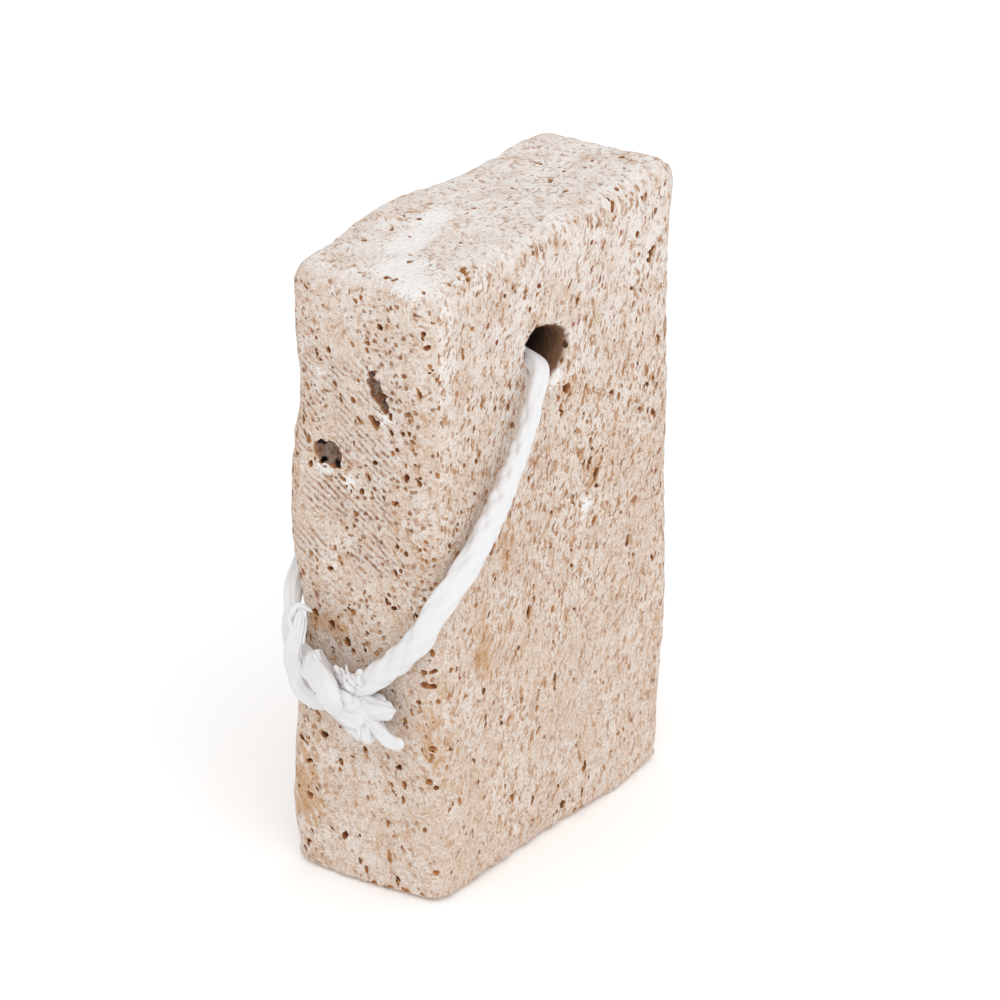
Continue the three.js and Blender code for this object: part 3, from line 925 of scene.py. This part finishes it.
# the run up the front, through the hole and down the back,
cordRun = [
    (-0.0328, -0.0102, 0.0439), (-0.0325, -0.0124, 0.0469), (-0.0320, -0.0140, 0.0505),
    (-0.0306, -0.0155, 0.0535), (-0.0282, -0.0163, 0.0563), (-0.0248, -0.0165, 0.0589),
    (-0.0214, -0.0164, 0.0619), (-0.0182, -0.0163, 0.0650), (-0.0154, -0.0161, 0.0681),
    (-0.0128, -0.0160, 0.0713), (-0.0106, -0.0159, 0.0747), (-0.0090, -0.0159, 0.0779),
    (-0.0079, -0.0159, 0.0801), (-0.0065, -0.0150, 0.0815), (-0.0054, -0.0120, 0.0819),
    (-0.0051, -0.0060, 0.0817), (-0.0051, 0.0, 0.0815), (-0.0051, 0.0060, 0.0815),
    (-0.0054, 0.0120, 0.0813), (-0.0065, 0.0151, 0.0803), (-0.0084, 0.0158, 0.0775),
    (-0.0108, 0.0154, 0.0729), (-0.0128, 0.0156, 0.0685), (-0.0146, 0.0158, 0.0645),
    (-0.0162, 0.0162, 0.0605), (-0.0180, 0.0164, 0.0565), (-0.0202, 0.0165, 0.0525),
    (-0.0228, 0.0164, 0.0493), (-0.0260, 0.0161, 0.0469), (-0.0290, 0.0155, 0.0449),
    (-0.0310, 0.0145, 0.0429),
]
# and the back strand in the knot
backStrandInKnot = [
    (-0.0318, 0.0139, 0.0409), (-0.0322, 0.0129, 0.0391), (-0.0328, 0.0114, 0.0379),
    (-0.0334, 0.0092, 0.0371), (-0.0346, 0.0068, 0.0368), (-0.0362, 0.0042, 0.0365),
    (-0.0372, 0.0022, 0.0355), (-0.0369, 0.0016, 0.0335), (-0.0356, 0.0014, 0.0313),
    (-0.0339, 0.0006, 0.0299), (-0.0332, -0.0008, 0.0291), (-0.0331, -0.0028, 0.0286),
    (-0.0331, -0.0048, 0.0281),
]

cordShape = {
    "step": 0.3 * mm,
    "around": 52,  # points round it
    "strands": 4,  # that turn each way
    "lay": 25 * mm,  # length of one whole turn of a strand
    "relief": 0.46 * mm,  # how far the strands stand up
    "crossing": 0.5,  # how far one strand lifts over another, as a share of that
    "crown": (0.6, 2.6),  # how round each strand is, and how flat on top
    "blend": 7.0,  # how sharply one strand gives way to the other
    # how far the strands stray round it in radians, over how many mm, and where that starts in radians
    "wander": [(0.12, 4.7, 0.0), (0.1, 11.0, 1.3)],
    "uneven": (0.05, 6.1, 0.7),  # the same of their lay, as a share of it
    "looseness": 0.16 * mm,  # how uneven they are
    "crease": 0.3 * mm,  # depth of the creases where the cord is knotted
    "creaseSize": 4.5 * mm,
    "pulledFlat": 0.6,  # how much less the strands stand up there
    "knotted": (24, 36, 158, 168),  # mm along it, all before and after these and none between
    "yarnWidth": 1.75 * mm,
    # length along the cord, half width, half thickness, how far it is pressed down on the stone, in mm
    "section": [
        (0, 0.7, 0.4, 0.1),
        (3, 1.2, 0.7, 0.5),
        (8, 1.9, 1.4, 0.9),
        (14, 2.1, 1.6, 0.8),
        (24, 2.4, 1.6, 0.5),
        (34, 2.1, 1.7, 0.3),
        (42, 2.1, 1.9, 0),
        (52, 2.1, 1.95, 0),
        (62, 1.98, 1.9, 0),
        (72, 1.8, 1.75, 0),
        (80, 1.4, 1.5, 0),
        (92, 1.32, 1.45, 0),
        (125, 1.7, 1.7, 0),
        (150, 1.95, 1.85, 0),
        (160, 1.8, 1.7, 0.2),
        (168, 1.8, 1.6, 0.3),
        (176, 2.5, 1.6, 0.3),
        (180, 2.8, 1.5, 0.7),
        (185, 2.8, 1.4, 1.1),
        (189, 2.2, 1.3, 0.8),
        (193, 1.6, 1.0, 0.4),
        (197, 1.1, 0.6, 0.2),
    ],
    # length along the cord and how far it lies to one side of its drawn line there, in mm
    "aside": [
        (0, 0, 0, 0),
        (6, 0.2, -0.8, 0),
        (14, 0.2, -0.9, 0.2),
        (22, 0.1, -0.2, 0),
        (28, 0, 0, 0),
        (82, 0, 0, 0),
        (87, -0.65, 0, -0.3),
        (91, -0.7, 0, -0.3),
        (97, -0.3, 0, 0),
        (105, 0, 0, 0),
        (155, 0, 0, 0),
        (164, 0.2, -0.6, 0),
        (170, 0.3, -0.7, 0),
        (175, 0, 0.5, -0.3),
        (181, 0, 1.3, -0.5),
        (187, 0, 0.9, -0.3),
        (192, 0, 0.2, 0),
        (197, 0, 0, 0),
    ],
}


def throughPoints(points, perSpan=24):  # a smooth line through points, spaced like the drawn one
    p = np.array(points, float)
    p = np.vstack([2 * p[0] - p[1], p, 2 * p[-1] - p[-2]])
    out = []
    for a, b, c, d in zip(p, p[1:], p[2:], p[3:]):
        gaps = [max(np.linalg.norm(q - r), 1e-9) ** 0.5 for q, r in ((b, a), (c, b), (d, c))]
        knots = np.cumsum([0] + gaps)
        t = np.linspace(knots[1], knots[2], perSpan, endpoint=False)[:, None]
        ab = a + (b - a) * (t - knots[0]) / (knots[1] - knots[0])
        bc = b + (c - b) * (t - knots[1]) / (knots[2] - knots[1])
        cd = c + (d - c) * (t - knots[2]) / (knots[3] - knots[2])
        abc = ab + (bc - ab) * (t - knots[0]) / (knots[2] - knots[0])
        bcd = bc + (cd - bc) * (t - knots[1]) / (knots[3] - knots[1])
        out.append(abc + (bcd - abc) * (t - knots[1]) / (knots[2] - knots[1]))
    return np.vstack(out + [p[-2:-1]])


def evenly(line, step):  # the same line with its points a step apart, and each point's length along it
    gone = np.concatenate([[0], np.cumsum(np.linalg.norm(np.diff(line, axis=0), axis=1))])
    lengths = np.linspace(0, gone[-1], max(2, round(gone[-1] / step)) + 1)
    return np.column_stack([np.interp(lengths, gone, line[:, k]) for k in range(3)]), lengths


def unit(vectors):
    return vectors / np.linalg.norm(vectors, axis=-1, keepdims=True)


def blurred(values, reach):  # a running mean over reach points each way
    kernel = np.ones(2 * reach + 1) / (2 * reach + 1)
    padded = np.vstack([values[:1]] * reach + [values] + [values[-1:]] * reach)
    return np.column_stack([np.convolve(padded[:, k], kernel, "valid") for k in range(values.shape[1])])


def ribbonMesh(name, ribbons, material, slants=None):
    # ribbons: points by ring and by place round it. Each gets its length and width in mm in the map "yarn",
    # and a band of its own in the bake map. slants: how far the yarn on each face turns round for each mm.
    vertices, faces, yarn, bake = [], [], [], []
    bands = len(ribbons)
    longest = max(np.sum(np.linalg.norm(np.diff(r.mean(axis=1), axis=0), axis=1)) for r in ribbons)
    for band, rings in enumerate(ribbons):
        count, around = rings.shape[:2]
        base = len(vertices)
        vertices.extend(map(tuple, rings.reshape(-1, 3)))
        middle = rings.mean(axis=1)
        gone = np.concatenate([[0], np.cumsum(np.linalg.norm(np.diff(middle, axis=0), axis=1))])
        girth = np.max(np.linalg.norm(rings - middle[:, None], axis=2)) * 4.4 / mm
        corners = [
            [(i, j), (i + 1, j), (i + 1, j + 1), (i, j + 1)] for i in range(count - 1) for j in range(around)
        ]
        corners.append([(0, j) for j in range(around)])
        corners.append([(count - 1, j) for j in range(around)][::-1])
        for number, face in enumerate(corners):
            slant = slants[number] if slants is not None and number < len(slants) else 0
            faces.append([base + i * around + j % around for i, j in face])
            start = band * 10  # each ribbon has lines of its own
            yarn.extend((gone[i] / mm, start + j / around * girth - slant * gone[i] / mm) for i, j in face)
            bake.extend(
                (0.01 + 0.98 * gone[i] / longest, (band + 0.06 + 0.88 * j / around) / bands) for i, j in face
            )
    mesh = bpy.data.meshes.new(name)
    mesh.from_pydata(vertices, [], faces)
    for layer, values in (("yarn", yarn), ("OFBake", bake)):
        mesh.uv_layers.new(name=layer).uv.foreach_set("vector", np.array(values, np.float32).ravel())
    mesh.materials.append(material)
    mesh.shade_smooth()
    return newPiece(name, mesh)


def cordFrame(surface):  # middle line, its lengths, and the ways across it and out from the stone
    line, lengths = evenly(throughPoints(cordPath), cordShape["step"])
    along = unit(np.gradient(line, axis=0))
    nearest = np.array([surface.find_nearest(Vector(p))[0] for p in line])
    out = blurred(unit(line - nearest), 8)
    out = unit(out - along * np.sum(out * along, axis=1, keepdims=True))
    return line, lengths, np.cross(along, out), out


def braid(lengths, angles):  # how high the strands stand at each place, and which way the upper one turns
    count = cordShape["strands"]
    crown, flat = cordShape["crown"]
    turns = count * lengths / cordShape["lay"]
    heights = []
    for way in (1, -1):
        place = count * angles / (2 * math.pi) - way * turns
        crossed = count * angles / (2 * math.pi) + way * turns
        number = np.floor(place)
        over = np.where(number % 2 == 0, 1, -1) * np.sin(math.pi * crossed) * way
        rounded = 1 - np.abs(2 * (place - number) - 1) ** flat
        heights.append(cordShape["crossing"] * over + crown * rounded)
    sharp = cordShape["blend"]
    height = np.log(np.exp(sharp * heights[0]) + np.exp(sharp * heights[1])) / sharp
    return height, np.where(heights[0] > heights[1], 1, -1)


def makeCord(surface, material):
    shape = cordShape
    line, lengths, across, out = cordFrame(surface)
    table = np.array(shape["section"]) * mm
    halfWidth, halfHeight, pressed = (
        blurred(np.interp(lengths, table[:, 0], table[:, k])[:, None], 6) for k in (1, 2, 3)
    )
    shifts = np.array(shape["aside"]) * mm
    line = line - out * pressed + blurred(
        np.column_stack([np.interp(lengths, shifts[:, 0], shifts[:, k]) for k in (1, 2, 3)]), 6
    )
    angles = np.arange(shape["around"]) * 2 * math.pi / shape["around"]
    at, angle = np.meshgrid(lengths, angles, indexing="ij")
    wander = sum(most * np.sin(at / (length * mm) + start) for most, length, start in shape["wander"])
    most, length, start = shape["uneven"]
    uneven = 1 + most * np.sin(at / (length * mm) + start)
    height, _ = braid(at * uneven, angle + wander)
    knotted = np.interp(lengths / mm, shape["knotted"], (1, 0, 0, 1))[:, None]
    crease = [
        [noise.noise(Vector((2.1 * math.cos(a), 2.1 * math.sin(a), s / shape["creaseSize"]))) for a in angles]
        for s in lengths
    ]
    reach = (height * (1 - shape["pulledFlat"] * knotted) - 1) * shape["relief"]
    reach += np.array(crease) * (shape["looseness"] + knotted * shape["crease"])
    c, s = np.cos(angle)[:, :, None], np.sin(angle)[:, :, None]
    rings = line[:, None] + across[:, None] * c * (halfWidth + reach)[:, :, None]
    rings = rings + out[:, None] * s * (halfHeight + reach)[:, :, None]
    middles = angles + math.pi / shape["around"]
    _, ways = braid(*np.meshgrid((lengths[1:] + lengths[:-1]) / 2, middles, indexing="ij"))
    slant = 2 * math.pi * shape["yarnWidth"] / shape["lay"]
    return ribbonMesh("hangingCord", [rings], material, (ways * slant).ravel())


# Where the yarns come loose: the way they go and their half width at its start, middle and end, all in mm,
# how many there are and how far they stand apart.
frays = {
    "heart": {
        "way": [(-33.9, 7.2, 38.6), (-34.3, 5.0, 35.4), (-34.1, 2.6, 32.4)],
        "half": (1.8, 2.3, 1.8),
        "yarns": 5,
        "apart": 0.7,
    },
    "bridge": {
        "way": [(-34.2, 3.6, 33.6), (-34.5, 1.0, 32.8), (-34.0, -2.4, 32.4)],
        "half": (1.8, 2.2, 1.7),
        "yarns": 4,
        "apart": 0.5,
    },
    "neck": {
        "way": [(-34.0, 3.4, 31.2), (-34.2, 0.0, 30.9), (-33.8, -4.0, 31.0)],
        "half": (1.6, 2.1, 1.5),
        "yarns": 4,
        "apart": 0.5,
    },
    "lowerLeft": {
        "way": [(-33.6, 0.0, 31.0), (-33.8, -0.8, 28.6), (-33.6, -0.6, 26.6)],
        "half": (1.7, 2.2, 1.7),
        "yarns": 3,
        "apart": 0.5,
    },
    "lowerMiddle": {
        "way": [(-33.6, -1.6, 30.4), (-33.8, -2.4, 28.2), (-33.6, -3.6, 26.2)],
        "half": (1.9, 2.0, 1.6),
        "yarns": 3,
        "apart": 0.5,
    },
    "lowerRight": {
        "way": [(-33.4, -2.6, 30.8), (-33.6, -5.4, 29.0), (-33.5, -8.0, 28.0), (-33.2, -10.4, 28.4)],
        "half": (1.9, 1.4, 1.15),
        "yarns": 4,
        "apart": 0.35,
    },
    "stub": {
        "way": [(-33.4, -2.0, 32.4), (-33.5, -5.0, 32.9), (-33.3, -7.8, 33.3)],
        "half": (2.2, 2.1, 1.7),
        "yarns": 4,
        "apart": 0.5,
    },
    "crumb": {
        "way": [(-34.6, -0.6, 35.4), (-34.9, 0.8, 36.9), (-34.5, 1.9, 37.9)],
        "half": (1.0, 0.9, 0.7),
        "yarns": 18,
        "apart": 1.6,
        "ends": (0.3, 0.85),
        "share": (0.4, 0.7),
    },
    "crumbLeft": {
        "way": [(-34.5, -2.0, 36.2), (-34.7, -1.4, 37.4), (-34.3, -1.8, 38.3)],
        "half": (1.0, 0.8, 0.6),
        "yarns": 14,
        "apart": 1.5,
        "ends": (0.3, 0.9),
        "share": (0.4, 0.7),
    },
    "upperLoop": {
        "way": [(-35.6, 9.2, 41.6), (-35.2, 10.2, 44.2), (-34.4, 9.6, 45.9), (-33.6, 6.2, 45.0)],
        "half": (0.9, 0.55, 0.45),
        "yarns": 4,
        "apart": 0.25,
        "share": (0.6, 0.8),
    },
    "upperInner": {
        "way": [(-35.6, 8.2, 40.6), (-34.6, 8.2, 43.0), (-34.0, 8.6, 45.0)],
        "half": (1.0, 0.6, 0.35),
        "yarns": 3,
        "apart": 0.35,
        "share": (0.6, 0.8),
    },
}
frayShape = {
    "step": 0.3 * mm,
    "clear": 0.35 * mm,  # of the stone
    "ends": (0.75, 1.0),  # how much of the way each yarn goes
    "share": (0.65, 0.95),  # of the half width
    "thickness": (0.38, 0.52),  # as a share of the half width
    "twist": (0.7, 0.9),  # radians, at most, at the start and on the way
    "apart": (0.35, 0.65),  # how much of "apart" they stand at the start, and how much more at the end
    "aside": (0.35, 1, 1),  # how much of it away from the stone, along it and up
    "wave": 0.25 * mm,
    "waves": (5, 9),  # radians on the way
    "tip": 0.03,  # the least width, as a share squared
    "sides": 12,
    "grooves": (4, 0.13),  # how many there are, and their depth as a share of the width
    "seed": 12,
}


def ribbon(centre, flat, up, half, thick, fold):  # a flat, grooved section swept along centre
    angles = np.arange(frayShape["sides"]) * 2 * math.pi / frayShape["sides"]
    number, deep = frayShape["grooves"]
    grooves = 1 + deep * np.cos(number * angles + fold)
    x = (np.cos(angles) * grooves)[None, :] * half[:, None]
    y = (np.sin(angles) * grooves)[None, :] * thick[:, None]
    return centre[:, None, :] + x[:, :, None] * flat[:, None, :] + y[:, :, None] * up[:, None, :]


def makeFrays(surface, material):
    shape = frayShape
    draws = random.Random(shape["seed"])
    ribbons = []
    for fray in frays.values():
        guide, lengths = evenly(throughPoints(np.array(fray["way"]) * mm), shape["step"])
        gone = lengths / lengths[-1]
        whole = np.interp(gone, (0, 0.5, 1), fray["half"]) * mm
        for _ in range(fray["yarns"]):
            ends = draws.uniform(*fray.get("ends", shape["ends"]))
            t = gone * ends
            centre = np.column_stack([np.interp(t, gone, guide[:, k]) for k in range(3)])
            aside = np.array([draws.uniform(-1, 1) * s for s in shape["aside"]])
            first, further = shape["apart"]
            spread = fray["apart"] * mm * (first + further * t)
            wave = np.array([draws.uniform(-1, 1) for _ in range(3)]) * shape["wave"]
            waved = wave * np.sin(t * draws.uniform(*shape["waves"]))[:, None]
            centre = centre + aside * spread[:, None] + waved
            along = unit(np.gradient(centre, axis=0))
            first, further = shape["twist"]
            twist = draws.uniform(-first, first) + t * draws.uniform(-further, further)
            side = unit(np.cross(along, np.array([-1.0, 0.0, 0.0])))
            up = np.cross(side, along)
            flat = side * np.cos(twist)[:, None] + up * np.sin(twist)[:, None]
            high = np.cross(flat, along)
            half = np.interp(t, gone, whole) * draws.uniform(*fray.get("share", shape["share"]))
            blunt = np.clip((1.0 - gone) * lengths[-1] * ends / half[-1], 0.0, 1)
            taper = np.sqrt(np.clip(1 - (1 - blunt) ** 2, shape["tip"], 1))
            half = half * taper
            thick = half * draws.uniform(*shape["thickness"])
            for i, point in enumerate(centre):  # clear of the stone
                near, way = surface.find_nearest(Vector(point))[:2]
                short = thick[i] + half[i] * 0.4 + shape["clear"] - (Vector(point) - near).dot(way)
                if short > 0:
                    centre[i] += np.array(way) * short
            ribbons.append(ribbon(centre, flat, high, half, thick, draws.uniform(0, 6)))
    return ribbonMesh("frayedEnds", ribbons, material)


# Polypropylene split film, braided and a little worn: white, with a silky gloss along each strand.
# The eye gets fine lines along the strands, and a little grey in patches lower down, round the knot.
yarnLook = {
    "white": "#e3e3e4",
    "greyer": "#dedbd9",
    "filament": (0.32, 9.0),  # mm across and long; real ones are about 0.05 mm across, too fine to show
    "greyPatchSize": 10 / 3 * mm,
    "greyingLowDown": (52 * mm, 36 * mm, 0.05, 0.7),  # from this height down to this one, the least and the most
    "relief": 0.02 * mm,
    "roughness": 0.42,
    "gloss": 0.4,
}


def polypropylene():
    look = yarnLook
    material = bpy.data.materials.new("braidedPolypropylene")
    material.use_nodes = True
    tree = material.node_tree
    tree.nodes.clear()
    add = partial(addNode, tree)
    across, long = look["filament"]
    stretched = add(
        "Mapping",
        {"Vector": add("UVMap", uv_map="yarn"), "Scale": (1 / long, 1 / across, 1.0)},
        vector_type="POINT",
    )
    lines = add("TexNoise", [stretched, 1.0, 2.0])
    place = add("TexCoord").outputs["Object"]
    # patches where the yarn is a little greyer, lower down round the knot
    dust = add("TexNoise", [place, 1 / look["greyPatchSize"], 2.0])
    knotted = add(
        "MapRange",
        [add("SeparateXYZ", [place]).outputs["Z"], *look["greyingLowDown"]],
        interpolation_type="SMOOTHSTEP",
    )
    greying = add("Math", [knotted, dust], operation="MULTIPLY")
    tone = add("Mix", [greying, linear(look["white"]), linear(look["greyer"])], data_type="RGBA")
    bump = add("Bump", {"Strength": 1.0, "Distance": look["relief"], "Height": lines})
    shader = add(
        "BsdfPrincipled",
        {
            "Base Color": tone,
            "Roughness": look["roughness"],
            "Specular IOR Level": look["gloss"],
            "Normal": bump,
        },
    )
    add("OutputMaterial", [shader])
    return material


cordPath = frontStrandInKnot + cordRun + backStrandInKnot
yarnFinish = polypropylene()
cord = makeCord(stoneSurface, yarnFinish)
frayedEnds = makeFrays(stoneSurface, yarnFinish)
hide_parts("cord", "knot")
for piece, finish in ((cord, "cord_yarn"), (frayedEnds, "knot_yarn")):
    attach(piece, "root")
    print(piece.name + ":", sum(len(p.vertices) - 2 for p in piece.data.polygons), "triangles")

stage = {
    "width": 8,
    "paper": 0.985,  # how much light the white floor gives back
    "glow": 0.07,  # a little of its own, which lifts it to clean white
    "tent": 0.87,  # light from all round
    # place of each lamp, its size and its power
    "lamps": {"key": ((-0.75, -0.8, 1.25), 1.1, 7.0), "fill": ((0.5, -0.9, 0.8), 1.0, 1.0)},
}


def makeStage():
    bpy.ops.mesh.primitive_plane_add(size=stage["width"], location=(0, 0, 0))
    floor = bpy.context.object
    floor.name = "floor"
    material = bpy.data.materials.new("whitePaper")
    material.use_nodes = True
    shader = material.node_tree.nodes["Principled BSDF"]
    shader.inputs["Base Color"].default_value = (stage["paper"],) * 3 + (1,)
    shader.inputs["Roughness"].default_value = 0.9
    shader.inputs["Emission Color"].default_value = (1, 1, 1, 1)
    shader.inputs["Emission Strength"].default_value = stage["glow"]
    floor.data.materials.append(material)
    world = bpy.data.worlds.new("tent")
    scene.world = world
    world.use_nodes = True
    world.node_tree.nodes["Background"].inputs["Color"].default_value = (1, 1, 1, 1)
    world.node_tree.nodes["Background"].inputs["Strength"].default_value = stage["tent"]
    for name, (spot, size, power) in stage["lamps"].items():
        light = bpy.data.lights.new(name, "AREA")
        light.size = size
        light.energy = power
        lamp = bpy.data.objects.new(name, light)
        lamp.location = spot
        lamp.rotation_euler = (Vector(spot) - stoneMiddle).to_track_quat("Z", "Y").to_euler()
        scene.collection.objects.link(lamp)
    scene.view_settings.view_transform = "Standard"


makeStage()
print("stage done")
